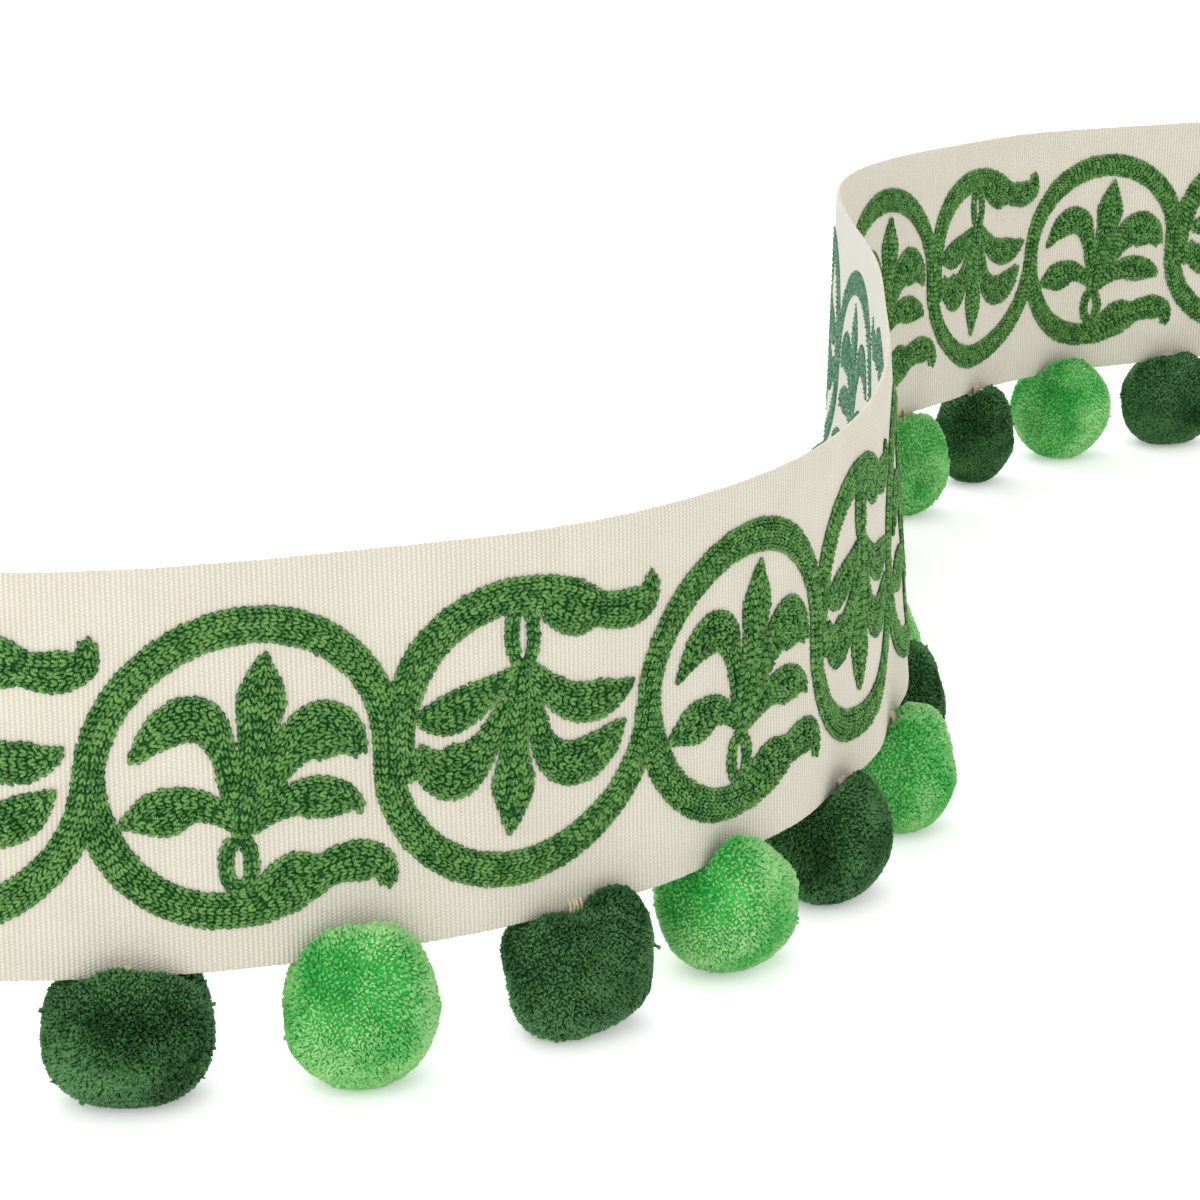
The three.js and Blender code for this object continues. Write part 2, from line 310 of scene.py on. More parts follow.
bpy.ops.mesh.primitive_grid_add(x_subdivisions=RIBS * RIB_STEPS, y_subdivisions=ROWS, size=1)
tape = bpy.context.object
tape.name = tape.data.name = "tape_cloth"
flat = np.zeros(len(tape.data.vertices) * 3)
tape.data.vertices.foreach_get("co", flat)
flat = flat.reshape(-1, 3)
step_along = np.rint((flat[:, 0] + 0.5) * RIBS * RIB_STEPS)
step_up = np.rint((flat[:, 1] + 0.5) * ROWS).astype(int)
row_heights = np.concatenate(
    [[0], np.linspace(SELVEDGE_DEPTH, TAPE_WIDTH - SELVEDGE_DEPTH, ROWS - 1), [TAPE_WIDTH]]
)
s, v = step_along * TAPE_LENGTH / (RIBS * RIB_STEPS), row_heights[step_up]
turn_of_weft = random.normal(0, EDGE_UNEVEN, (2, RIBS + 1))[:, (step_along / RIB_STEPS).astype(int)]
uneven = np.where(step_up == 0, turn_of_weft[0], 0) + np.where(step_up == ROWS, turn_of_weft[1], 0)
tape.data.vertices.foreach_set("co", on_tape(s, v + uneven, 0).ravel())

uv = tape.data.uv_layers["UVMap"].uv
corner = np.zeros(len(tape.data.loops), int)
tape.data.loops.foreach_get("vertex_index", corner)
uv.foreach_set("vector", np.stack([s / TAPE_LENGTH, v / TAPE_WIDTH], -1)[corner].ravel())

hollow = (1 - np.cos(2 * np.pi * step_along / RIB_STEPS)) / 2
selvedge = (step_up == 0) | (step_up == ROWS)
fullness = np.round((1 - RIB_HOLLOW * hollow) * np.where(selvedge, 1 - SELVEDGE_THINNING, 1), 4)
group = tape.vertex_groups.new(name="fullness")
for value in np.unique(fullness):
    group.add(np.flatnonzero(fullness == value).tolist(), float(value), "REPLACE")
solidify = tape.modifiers.new("thickness", "SOLIDIFY")
solidify.thickness = TAPE_THICKNESS * MM
solidify.offset = 0
solidify.vertex_group = group.name
solidify.material_offset = 1
tape.data.materials.append(tape_face)
tape.data.materials.append(shaded_tape_back)
bpy.ops.object.modifier_apply(modifier=solidify.name)
bpy.ops.object.shade_smooth_by_angle(angle=math.radians(60))
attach(tape, "root")
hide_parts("tape")
print("tape:", len(tape.data.polygons), "faces")

# %% [markdown]
# The scroll is a traditional running vine. A wave of half ellipses passes over one ring and under the
# next. A second stem leaves it at each crossing, closes the ring and runs out into a leaf of two
# lobes with a hooked tip. Each ring holds a palmette on a small loop: a pointed leaf in the middle and
# two side leaves on either hand. In every second ring the stem is mirrored top to bottom and the
# palmette hangs, with leaves of its own.
#
# Every shape is a blade: a spine with a half width at each point. A few rows describe a leaf, arcs
# describe the stems, and a smooth curve through the rows gives the rest. Columns are the distance from
# the ring's middle, the height on the tape and the half width, in millimetres.

# %% Shapes of the scroll
RING_PITCH = 55.5
FIRST_RING = -23
RING_HALF_HEIGHT = 26.5
MIDDLE = TAPE_WIDTH / 2
SLANT = 0.09

STANDING = {
    "tall": [
        (-0.8, 25, 1.7),
        (0.7, 33, 2.8),
        (2.5, 41.5, 3.2),
        (3.7, 47, 4.3),
        (4.2, 51, 4.7),
        (4.6, 55, 3),
        (5, 57.6, 1.5),
        (5.2, 59.4, 0.6),
    ],
    "upper_left": [
        (-0.6, 27, 1.5),
        (-1.9, 34, 2.2),
        (-3.3, 41, 2.5),
        (-6, 46.8, 3.9),
        (-10, 48, 4.3),
        (-14.2, 46.2, 3.6),
        (-18, 42.8, 1.9),
        (-20.3, 40.1, 0.6),
    ],
    "upper_right": [
        (0.8, 27, 1.6),
        (3.6, 33, 2.6),
        (7.7, 38.7, 3.2),
        (11.7, 42.6, 4.7),
        (15.7, 43.5, 5.8),
        (19.5, 42.2, 4.4),
        (21.7, 39.9, 2.4),
        (22.6, 37.8, 1),
    ],
    "lower_left": [
        (-0.5, 26, 1.2),
        (-4.2, 29.8, 2.2),
        (-9, 31.9, 3.3),
        (-13.5, 31.1, 4.5),
        (-17, 30.5, 4),
        (-20.6, 29.5, 1.9),
        (-22.3, 28.4, 0.8),
    ],
    "lower_right": [
        (1, 26.2, 1.2),
        (5, 29.3, 2.3),
        (9.5, 31.2, 3.3),
        (14, 31.1, 4.1),
        (18.5, 30.4, 3.3),
        (21.2, 29.2, 1.8),
        (21.9, 27.7, 0.8),
    ],
}
HANGING = {
    "tall": [
        (-0.5, 52, 1.7),
        (-1.5, 43, 2.7),
        (-2.3, 38, 2.8),
        (-2.7, 33, 3.5),
        (-2.9, 29, 4.6),
        (-3.1, 26, 4.3),
        (-3.5, 21.6, 2.4),
        (-3.8, 18.2, 0.6),
    ],
    "upper_left": [
        (-2.5, 49.6, 1.6),
        (-7, 47.3, 2.6),
        (-11.5, 45, 3.9),
        (-16, 43.4, 4),
        (-19.6, 43.2, 2.7),
        (-22.4, 43.7, 0.9),
    ],
    "upper_right": [
        (0.8, 50.2, 1.6),
        (4.6, 46.2, 2.6),
        (8.6, 42.9, 3.5),
        (13, 41.4, 4.1),
        (17.5, 41.5, 3.8),
        (21, 42.2, 2.4),
        (23.8, 43.9, 0.8),
    ],
    "lower_left": [
        (-2.4, 46, 1.6),
        (-5.2, 41.5, 2.4),
        (-8.4, 36.9, 3.1),
        (-12, 33.6, 4.7),
        (-15.6, 32.5, 5.7),
        (-18.9, 33.6, 4.2),
        (-20.8, 36, 2.3),
        (-21.5, 37.9, 1),
    ],
    "lower_right": [
        (1.4, 46, 1.4),
        (2.5, 40, 2),
        (3.9, 34.6, 2.9),
        (7.4, 30.8, 4.2),
        (12, 29.9, 4.5),
        (16, 31.5, 4),
        (19.3, 33.9, 2.5),
        (21.4, 36.2, 0.8),
    ],
}
STANDING_LOOP = (-1.3, 20.2, 2.4, 4.6)
HANGING_LOOP = (-0.4, 56.6, 2.3, 5.5)
LOOP_YARN_HALF = 1.5
RUNNER = [
    (2, 11.9, 3.6),
    (5.7, 14, 5),
    (9.3, 15.9, 5.4),
    (12.4, 16.5, 4.5),
    (14.7, 17, 3.5),
    (18, 17.9, 3.7),
    (22, 18, 3.9),
    (25.5, 17, 3.1),
    (26.8, 14.2, 2),
    (26.1, 12.2, 1.1),
]
HANGING_SHIFT = 2
SPINE_STEP = 0.4
WAVE_HALF, WAVE_SWELL = 2.95, 0.5
WAVE_POINTS = 16
STEM_ARC = (-14, 84)
STEM_POINTS = 9
STEM_INSET = 0.7
STEM_HALF, STEM_SWELL = 2, 1.45
STEM_SWELL_FROM, STEM_SWELL_OVER = -0.25, 0.7
LOOP_POINTS = 17


def smooth(rows):
    """Points every SPINE_STEP along a curve through the rows, with their half widths."""
    rows = np.array(rows, float)
    padded = np.concatenate([[2 * rows[0] - rows[1]], rows, [2 * rows[-1] - rows[-2]]])
    pieces = []
    for a, b, c, d in zip(padded, padded[1:], padded[2:], padded[3:]):
        count = max(2, round(math.dist(b[:2], c[:2]) / SPINE_STEP))
        t = (np.arange(count) / count)[:, None]
        bend = (2 * a - 5 * b + 4 * c - d) * t**2 + (3 * b - a - 3 * c + d) * t**3
        pieces.append((2 * b + (c - a) * t + bend) / 2)
    return np.concatenate([*pieces, rows[-1:]])


def wave_blade(rings):
    """The wave, over the first ring and under the next."""
    turn = np.linspace(0, rings * np.pi, WAVE_POINTS * rings + 1)
    middle = FIRST_RING + RING_PITCH * np.minimum(turn // np.pi, rings - 1)
    across = -RING_PITCH / 2 * np.cos(turn % np.pi) * np.where(turn == rings * np.pi, -1, 1)
    up = RING_HALF_HEIGHT * np.sin(turn)
    half = WAVE_HALF + WAVE_SWELL * np.sin(turn) ** 2
    return smooth(np.stack([middle + across + SLANT * up, MIDDLE + up, half], -1))


def stem_blade():
    """The stem that closes a ring from below and ends in the runner leaf."""
    turn = np.radians(np.linspace(*STEM_ARC, STEM_POINTS))
    across = -(RING_PITCH / 2 - STEM_INSET) * np.cos(turn)
    up = -RING_HALF_HEIGHT * np.sin(turn)
    half = STEM_HALF + STEM_SWELL * np.clip((turn - STEM_SWELL_FROM) / STEM_SWELL_OVER, 0, 1)
    stem = np.stack([across + SLANT * up, MIDDLE + up, half], -1)
    return smooth(np.concatenate([stem, RUNNER]))


def loop_blade(across, up, half_width, half_height):
    """An upright oval of one even width, once round from its top."""
    turn = np.radians(np.linspace(90, 450, LOOP_POINTS))
    spine = (across + half_width * np.cos(turn), up + half_height * np.sin(turn))
    return smooth(np.stack([*spine, np.full_like(turn, LOOP_YARN_HALF)], -1))


rings = math.ceil((TAPE_LENGTH - FIRST_RING) / RING_PITCH) + 1
blades = [wave_blade(rings)]
for ring in range(rings):
    stem, leaves, loop = stem_blade(), STANDING, STANDING_LOOP
    if ring % 2 == 1:
        stem = stem * (1, -1, 1) + (HANGING_SHIFT, TAPE_WIDTH, 0)
        leaves, loop = HANGING, HANGING_LOOP
    shapes = [stem, *(smooth(rows) for rows in leaves.values()), loop_blade(*loop)]
    blades += [shape + (FIRST_RING + ring * RING_PITCH, 0, 0) for shape in shapes]
print("blades of the scroll:", len(blades))

# %% [markdown]
# A chain stitch fills a shape in rows that follow its outline. The outermost row runs half a row's
# width inside the edge, the next one row further in, and a single row closes the middle where two no
# longer fit. A row is walked in steps of one stitch. Where rows begin and end a spot may stay open,
# and one more stitch fills it, as a hand would. Where a later blade grows out of an earlier one its
# stitches would lie on top of the others, so those are left out.

# %% Rows of stitches
ROW_WIDTH = 1.4
STITCH_LENGTH = 1.45
FIRST_STITCH = (0.3, 0.7)
LOOK_ALONG = 0.3
PAIR_FROM = 0.25
MIDDLE_FROM = 0.62
TIP_FROM = 0.25
FILL_STEP = 0.7
FILL_GAP = 1.05
OVERLAP = 0.3
END_MARGIN = 0.8
POINTS_A_PART = 60


def directions(blade):
    """The unit direction of the spine at each of its points."""
    ahead = np.gradient(blade[:, :2], axis=0)
    return ahead / np.linalg.norm(ahead, axis=1)[:, None]


def away_from_ends(s):
    """Whether places along the strip keep clear of its two cut ends."""
    return (s > END_MARGIN) & (s < TAPE_LENGTH - END_MARGIN)


def runs(mask):
    """The stretches where the mask holds, as slices."""
    edges = np.flatnonzero(np.diff(np.concatenate([[0], mask.astype(int), [0]])))
    return [slice(a, b) for a, b in zip(edges[::2], edges[1::2])]


def walk(line, offset):
    """Stitch places along a line: s, v, direction, and how deep inside the shape."""
    lengths = np.concatenate([[0], np.cumsum(np.linalg.norm(np.diff(line[:, :2], axis=0), axis=1))])
    count = int(lengths[-1] / STITCH_LENGTH)
    if count < 1:
        return np.zeros((0, 4))
    at = (np.arange(count) + random.uniform(*FIRST_STITCH)) * lengths[-1] / count
    s, v = (np.interp(at, lengths, line[:, k]) for k in (0, 1))
    ahead = np.clip(at + LOOK_ALONG, 0, lengths[-1])
    behind = np.clip(at - LOOK_ALONG, 0, lengths[-1])
    ds, dv = (np.interp(ahead, lengths, line[:, k]) - np.interp(behind, lengths, line[:, k]) for k in (0, 1))
    return np.stack([s, v, np.arctan2(dv, ds), np.full(count, offset)], -1)


def stitch_rows(blade):
    """All stitch places of a blade."""
    spine, half = blade[:, :2], blade[:, 2] / ROW_WIDTH
    direction = directions(blade)
    across = np.stack([-direction[:, 1], direction[:, 0]], -1)
    pairs = np.maximum(np.ceil(half - 0.5 - PAIR_FROM), 0)
    left_over = half - (pairs - 0.5)
    single = np.where(pairs > 0, left_over > MIDDLE_FROM, half > TIP_FROM)
    places = [walk(spine[run], 2) for run in runs(single)]
    for k in range(int(pairs.max())):
        for run in runs(pairs > k):
            inset = ((half - 0.5 - k) * ROW_WIDTH)[run, None]
            places += [walk(spine[run] + way * inset * across[run], k) for way in (1, -1)]
    return np.concatenate(places)


def inside(points, blade, margin):
    """Whether points lie inside a blade by more than a margin."""
    near = np.full(len(points), -np.inf)
    for part in np.array_split(blade[::2], max(1, len(blade) // POINTS_A_PART)):
        gap = np.linalg.norm(points[:, None, :2] - part[None, :, :2], axis=2)
        near = np.maximum(near, (part[None, :, 2] - gap).max(axis=1))
    return near > margin


def filled(places, blade):
    """The places, and one more wherever a spot inside the blade is too far from all of them."""
    tree = KDTree(len(places))
    for number, (s, v, *_) in enumerate(places):
        tree.insert((s, v, 0), number)
    tree.balance()
    added = []
    for (s, v, half), (ds, dv) in zip(blade, directions(blade)):
        for side in np.arange(FILL_STEP - half, half - FILL_STEP, FILL_STEP):
            spot = (s - dv * side, v + ds * side)
            gap = tree.find((*spot, 0))[2]
            if gap > FILL_GAP and all(math.dist(spot, x[:2]) > FILL_GAP for x in added):
                added.append((*spot, math.atan2(dv, ds), 1))
    return np.concatenate([places, np.reshape(added, (-1, 4))])


kept = []
for number, blade in enumerate(blades):
    places = filled(stitch_rows(blade), blade)
    low, high = blade[:, 0].min(), blade[:, 0].max()
    for earlier in blades[:number]:
        if earlier[:, 0].min() < high and earlier[:, 0].max() > low and len(places):
            places = places[~inside(places, earlier, OVERLAP * ROW_WIDTH)]
    kept.append(places)
stitches = np.concatenate(kept)
stitches = stitches[away_from_ends(stitches[:, 0])]
print("stitches:", len(stitches))

# %% [markdown]
# One link of chain stitch is a loop of yarn. Seen from above it is two fat strands that start close
# together and spread, with the next link coming out between them, so a row looks like a braid. One
# strand is a sphere of few faces, stretched and tipped in edit mode. Its mirror image makes the second
# strand. The link is modelled once, and its copies are then set along the rows in plain arrays.

# %% One link of chain stitch
STRAND_LENGTH = 1.85
STRAND_WIDTH = 0.86
STRAND_HEIGHT = 0.85
STRAND_TURN = math.radians(19)
STRAND_APART = 0.32


def select_all_points():
    bpy.ops.object.mode_set(mode="EDIT")
    bpy.ops.mesh.select_all(action="SELECT")


def measured(piece):
    """The piece's points in millimetres and its triangles, and the piece is removed."""
    piece.data.calc_loop_triangles()
    points = np.array([point.co for point in piece.data.vertices]) / MM
    faces = np.array([face.vertices for face in piece.data.loop_triangles])
    bpy.data.objects.remove(piece)
    return points, faces


bpy.ops.object.select_all(action="DESELECT")
bpy.ops.mesh.primitive_uv_sphere_add(segments=4, ring_count=3, radius=0.5 * MM)
strand = bpy.context.object
select_all_points()
bpy.ops.transform.rotate(value=math.pi / 2, orient_axis="Y", center_override=(0, 0, 0))
bpy.ops.transform.resize(value=(STRAND_LENGTH, STRAND_WIDTH, STRAND_HEIGHT), center_override=(0, 0, 0))
bpy.ops.transform.rotate(value=-STRAND_TURN, orient_axis="Z", center_override=(0, 0, 0))
bpy.ops.transform.translate(value=(0, STRAND_APART * MM, 0))
bpy.ops.mesh.duplicate()
bpy.ops.transform.mirror(constraint_axis=(False, True, False), center_override=(0, 0, 0))
bpy.ops.mesh.flip_normals()
bpy.ops.object.mode_set(mode="OBJECT")
link_points, link_faces = measured(strand)
print("a link has", len(link_faces), "triangles and reaches, mm:", link_points.max(axis=0).round(2))

# %% [markdown]
# The yarn is mercerised cotton: mid green with a slight lustre. Its colour is darker low on each strand,
# where it dips between stitches, which is painted shade, and flecked with yellow-green along the plies and
# most on the strands' tops, which is partly the yarn's own tone and partly a painted highlight. No two
# stitches are quite alike, so each copy keeps a number of its own on the mesh, and the material reads it.
# Each point also keeps its place in the single link, so that the plies can wind round the strands
# whichever way they lie.

# %% Yarn of the needlework
PLY = 0.42
PLY_RELIEF = 0.12
YARN_FIBRE = 0.35
YARN_DRIFT = 12


def yarn(name, dark, middle, light):
    finish = Finish(name)
    own = finish.stored("shade")
    parts = finish.node("SeparateXYZ", {}, {"Vector": finish.stored("local", "Vector")})
    along, across, up = (Wire(finish, parts.outputs[axis]) for axis in "XYZ")
    twist = finish.wave((along + finish.math("ABSOLUTE", across) * 1.3 + up) * (1 / PLY))
    fibres = finish.noise(YARN_FIBRE * MM, 2)
    drift = finish.noise(YARN_DRIFT * MM, 2)
    plies = twist * 0.4 + fibres * 0.6
    # Lower on each strand the colour is darker: painted shade.
    body = finish.blend(own * 0.3 + plies * 1.5 + drift * 0.35 + up * 0.6 - 0.77, dark, middle)
    # The yellow-green flecks are partly the yarn's own tone and partly a painted highlight, stronger on the
    # strands' tops.
    fleck_and_highlight = (plies + own * 0.2 + up * 0.3 - 0.7) * 7
    return finish.surface(
        finish.blend(fleck_and_highlight, body, light),
        0.65 - plies * 0.15,
        plies,
        PLY_RELIEF * MM,
        Specular_IOR_Level=0.15,
    )


face_yarn = yarn(
    "green yarn",
    dark=(0.004, 0.055, 0.008),
    middle=(0.045, 0.25, 0.05),
    light=(0.28, 0.53, 0.15),
)
# A darker copy of the face yarn, for the ridge between the links: painted shade.
shaded_ground_yarn = yarn(
    "yarn below in painted shade",
    dark=(0.005, 0.05, 0.01),
    middle=(0.03, 0.16, 0.035),
    light=(0.12, 0.3, 0.09),
)
back_yarn = yarn(
    "yarn on reverse",
    dark=(0.02, 0.13, 0.06),
    middle=(0.10, 0.33, 0.18),
    light=(0.55, 0.68, 0.56),
)
print("yarns:", face_yarn.name, shaded_ground_yarn.name, back_yarn.name)

# %% [markdown]
# The stitches stand on the cloth and crown a little towards the middle of each shape. Every copy is
# turned along its row and varied in size, height and shade.

# %% The stitches
STITCH_LIFT = 0.28
CROWN = 0.16
CROWN_ROWS = 2
TURN_ASTRAY = 0.11
SET_ASTRAY = 0.06
LIFT_ASTRAY = 0.05
SIZES = (0.92, 1.12)
STITCHES_A_PIECE = 6000


def set_along(points, places, lift):
    """Copies of a small form at strip places. Its x runs along the row and its z out of the cloth."""
    cos, sin = np.cos(places[:, 2])[:, None], np.sin(places[:, 2])[:, None]
    size = random.uniform(*SIZES, (len(places), 1))
    x, y, z = (points[:, k] * size for k in range(3))
    s = places[:, 0, None] + x * cos - y * sin
    v = places[:, 1, None] + x * sin + y * cos
    return on_tape(s, v, lift[:, None] + z)


def joined(name, copies, faces, local, material):
    """One mesh of many copies. Each point keeps its copy's own number and its place in the single form."""
    count, size = copies.shape[:2]
    all_faces = (faces[None] + size * np.arange(count)[:, None, None]).reshape(-1, faces.shape[1])
    mesh = bpy.data.meshes.new(name)
    mesh.from_pydata(copies.reshape(-1, 3), [], all_faces.tolist())
    shade = np.repeat(random.random(count), size)
    mesh.attributes.new("shade", "FLOAT", "POINT").data.foreach_set("value", shade)
    places = np.tile(local, (count, 1)).ravel()
    mesh.attributes.new("local", "FLOAT_VECTOR", "POINT").data.foreach_set("vector", places)
    mesh.materials.append(material)
    mesh.shade_smooth()
    piece = bpy.data.objects.new(name, mesh)
    bpy.context.collection.objects.link(piece)
    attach(piece, "root")
    return piece


row_number = stitches[:, 3]
stitches[:, 2] += np.where(row_number % 2 == 1, np.pi, 0) + random.normal(0, TURN_ASTRAY, len(stitches))
stitches[:, :2] += random.normal(0, SET_ASTRAY, (len(stitches), 2))
lift = TAPE_THICKNESS / 2 + STITCH_LIFT + CROWN * np.minimum(row_number, CROWN_ROWS)
lift += random.uniform(-LIFT_ASTRAY, LIFT_ASTRAY, len(stitches))
order = np.argsort(stitches[:, 0])
for number, part in enumerate(np.array_split(order, math.ceil(len(order) / STITCHES_A_PIECE)), 1):
    copies = set_along(link_points, stitches[part], lift[part])
    piece = joined(f"needlework_{number}", copies, link_faces, link_points, face_yarn)

# %% [markdown]
# Between the links one looks down on more yarn, never on bare cloth, and on the reverse the yarn that
# goes through makes a thin solid band of each shape. A low ridge under each blade stands for both: a
# flattened section carried along the spine and through the cloth, closed at both ends. On the face it
# takes a darker copy of the yarn's colours: painted shade between the links.

# %% Yarn under the stitches and on the reverse
RIDGE = [(-1, 0.55), (-0.6, 0.8), (0, 0.92), (0.6, 0.8), (1, 0.55), (1.05, -0.66), (-1.05, -0.66)]
RIDGE_BACK = 5
RIDGE_INSET = 0.4
RIDGE_FROM = 0.95
RIDGE_STEP = 4
RIDGE_SHORTEST = 3

ridge_points, ridge_places, ridge_faces, ridge_sides = [], [], [], []
first = 0
for blade in blades:
    direction = directions(blade)
    for run in runs(away_from_ends(blade[:, 0]) & (blade[:, 2] > RIDGE_FROM)):
        spine, ahead = blade[run][::RIDGE_STEP], direction[run][::RIDGE_STEP]
        half = spine[:, 2] - RIDGE_INSET
        n, m = len(spine), len(RIDGE)
        if n < RIDGE_SHORTEST:
            continue
        for side, out in RIDGE:
            s, v = spine[:, 0] - ahead[:, 1] * side * half, spine[:, 1] + ahead[:, 0] * side * half
            ridge_points.append(on_tape(s, v, out))
            ridge_places.append(np.stack([s, v, np.zeros(n)], -1))
        for k in range(m):
            here, there = first + k * n, first + (k + 1) % m * n
            ridge_faces += [(here + i, there + i, there + i + 1, here + i + 1) for i in range(n - 1)]
            ridge_sides += [int(k == RIDGE_BACK)] * (n - 1)
        ridge_faces += [tuple(first + k * n for k in reversed(range(m)))]
        ridge_faces += [tuple(first + k * n + n - 1 for k in range(m))]
        ridge_sides += [0, 0]
        first += n * m
mesh = bpy.data.meshes.new("needlework_ground")
mesh.from_pydata(np.concatenate(ridge_points), [], ridge_faces)
places = np.concatenate(ridge_places).ravel()
mesh.attributes.new("local", "FLOAT_VECTOR", "POINT").data.foreach_set("vector", places)
mesh.materials.append(shaded_ground_yarn)
mesh.materials.append(back_yarn)
mesh.polygons.foreach_set("material_index", ridge_sides)
mesh.shade_smooth()
ground = bpy.data.objects.new(mesh.name, mesh)
bpy.context.collection.objects.link(ground)
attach(ground, "root")
print("ground:", len(mesh.polygons), "faces")

# %% [markdown]
# On the reverse each stitch shows as a short low dash of paler thread, bluish green and white mixed,
# with gaps. There are thousands, so a dash is a pyramid of four sides, drawn out along its row with
# its point away from the cloth.

# %% Dashes on the reverse
DASH = (1.7, 1, 0.6)
DASH_LIFT = 0.2
DASHES_LEFT_OUT = 0.1

bpy.ops.object.select_all(action="DESELECT")
bpy.ops.mesh.primitive_cone_add(vertices=4, radius1=0.5 * MM, radius2=0, depth=1 * MM)
dash = bpy.context.object
select_all_points()
bpy.ops.transform.rotate(value=math.pi, orient_axis="X", center_override=(0, 0, 0))
bpy.ops.transform.resize(value=DASH, center_override=(0, 0, 0))
bpy.ops.object.mode_set(mode="OBJECT")
dash_points, dash_faces = measured(dash)
shown = stitches[random.random(len(stitches)) > DASHES_LEFT_OUT]
copies = set_along(dash_points, shown, np.full(len(shown), -TAPE_THICKNESS / 2 - DASH_LIFT))
reverse = joined("reverse_dashes", copies, dash_faces, dash_points, back_yarn)
print("dashes:", len(shown))

# %% [markdown]
# Pompoms are balls of cut yarn: thousands of yarn ends that all point out from the middle. The eye sees
# small pale ends with dark between them, lighter at the rim where it looks along the pile. So the ball
# gets real tufts. The pile leans in patches, as combed fur does, and that breaks the even pattern.
# The colour also darkens towards the root of each tuft and on the ball between them: painted shade
# deep in the pile.

# %% Pile of the pompoms
PILE_PATCH = 13
PILE_GRAIN = 0.6


def pile(name, root, body, tip, sheen, rim):
    finish = Finish(name)
    end = finish.stored("tip")
    own = finish.stored("shade")
    patches = finish.noise(PILE_PATCH * MM, 3)
    grain = finish.noise(PILE_GRAIN * MM, 2)
    # The root colour low on each tuft is painted shade deep in the pile. Patches, grain and each tuft's own
    # number vary the tone at random.
    tone_and_shade = end * 0.55 + own * 0.3 + patches * 1.7 + grain * 0.6 - 1.08
    return finish.surface(
        finish.blend((tone_and_shade - 0.45) * 1.6, finish.blend(tone_and_shade * 2.2, root, body), tip),
        0.9 - end * 0.1,
        Specular_IOR_Level=0.15,
        Sheen_Weight=sheen,
        Sheen_Roughness=0.4,
        Sheen_Tint=(*rim, 1),
    )


bright_pile = pile(
    "bright pile",
    root=(0.012, 0.27, 0.04),
    body=(0.06, 0.5, 0.09),
    tip=(0.44, 0.83, 0.34),
    sheen=0.4,
    rim=(0.75, 1, 0.45),
)
dark_pile = pile(
    "dark pile",
    root=(0.002, 0.012, 0.002),
    body=(0.01, 0.064, 0.01),
    tip=(0.11, 0.28, 0.1),
    sheen=0.25,
    rim=(0.4, 0.8, 0.4),
)
print("piles:", bright_pile.name, dark_pile.name)

# %% [markdown]
# Where a pompom is bound to the hem, its pile wells up on both faces of the cloth, more on some
# pompoms than on others. A smooth rise in the strip's own measures does that. It begins a little off
# the cloth and below the hem, and three heights say how far it goes on the left of the tie, at the
# tie and on its right. The ball and the roots of its tufts go through the same function, so that they
# stay together.

# %% Pile beside the hem
SWELLS = {2: (0, 4.4, 2.8), 3: (3.4, 6.6, 3.6), 4: (0.3, 0, 2.2), 5: (5, 4.6, -0.8), 6: (3.4, 4.4, -1)}
SWELL = (1.2, 3.6, 1.2)
SWELL_WIDTH = 6
SWELL_OFF_CLOTH = (0.6, 4.5)
SWELL_UP = (-11, 1)
TIE_HEIGHT = 0.5


def unit(vectors):
    return vectors / np.linalg.norm(vectors, axis=-1, keepdims=True)


def eased_step(x, low, high):
    t = np.clip((x - low) / (high - low), 0, 1)
    return t * t * (3 - 2 * t)


def mark_of_tie(number):
    """The whole millimetre along the strip that is nearest to a tie."""
    low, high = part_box(f"tie_{number:02d}")
    gaps = np.linalg.norm(on_tape(marks, TIE_HEIGHT, 0) - np.array((low + high) / 2), axis=1)
    return gaps.argmin()


def swollen(points, number):
    """The points with the pile raised beside the hem: on its left, at the tie and on its right."""
    s = mark_of_tie(number)
    origin = on_tape(s, 0, 0)
    out = unit(on_tape(s, 0, 1) - origin)
    along = unit(on_tape(s + 1, 0, 0) - on_tape(s - 1, 0, 0))
    x, w = ((points - origin) @ axis / MM for axis in (along, out))
    up = (points - origin)[:, 2] / MM
    beside = eased_step(np.abs(w), *SWELL_OFF_CLOTH) * eased_step(up, *SWELL_UP)
    left, middle, right = SWELLS.get(number, SWELL)
    side = np.where(x < 0, left, right)
    near = np.exp(-((x / SWELL_WIDTH) ** 2))
    raised = points.copy()
    raised[:, 2] += beside * (side * (1 - near) + middle * near) * MM
    return raised


print("pompoms whose pile rises in a way of its own:", sorted(SWELLS))

# %% [markdown]
# The tufts are spread over all directions on a spiral, which spaces them evenly, and each is rooted
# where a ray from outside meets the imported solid. A tuft is a blunt wedge of four faces: its outer end
# is a short edge like the end of a flat brush, and its root is an edge across that. Clipped pile is
# level, so only a few stray ends stand out. Tufts that would reach the tape are left out, and those at
# the floor are pressed flat.

# %% Tufts
TUFTS = 4700
PILE_DEPTH = 1.3
TUFT_HALF = 0.52
TUFT_WIDTHS = (0.75, 1.1)
TUFT_OVER = 0.12
STRAY_SHARE = 0.005
STRAY_OVER = 0.6
SPREAD_ASTRAY = 0.011
RAY_FROM = 30
ROOTS_ABOVE = 0.3
ABOVE_FLOOR = 0.02
HEM_GAP = 0.3
LEAN = 0.5
LEANS = (0.3, 1)
LEAN_PATCH = 7
LEAN_PHASE = 1.7
TUFT_FACES = np.array([(0, 2, 1), (0, 1, 3), (0, 3, 2), (1, 2, 3)])


def bvh_of(node):
    mesh = node.data
    return BVHTree.FromPolygons([p.co for p in mesh.vertices], [f.vertices for f in mesh.polygons])


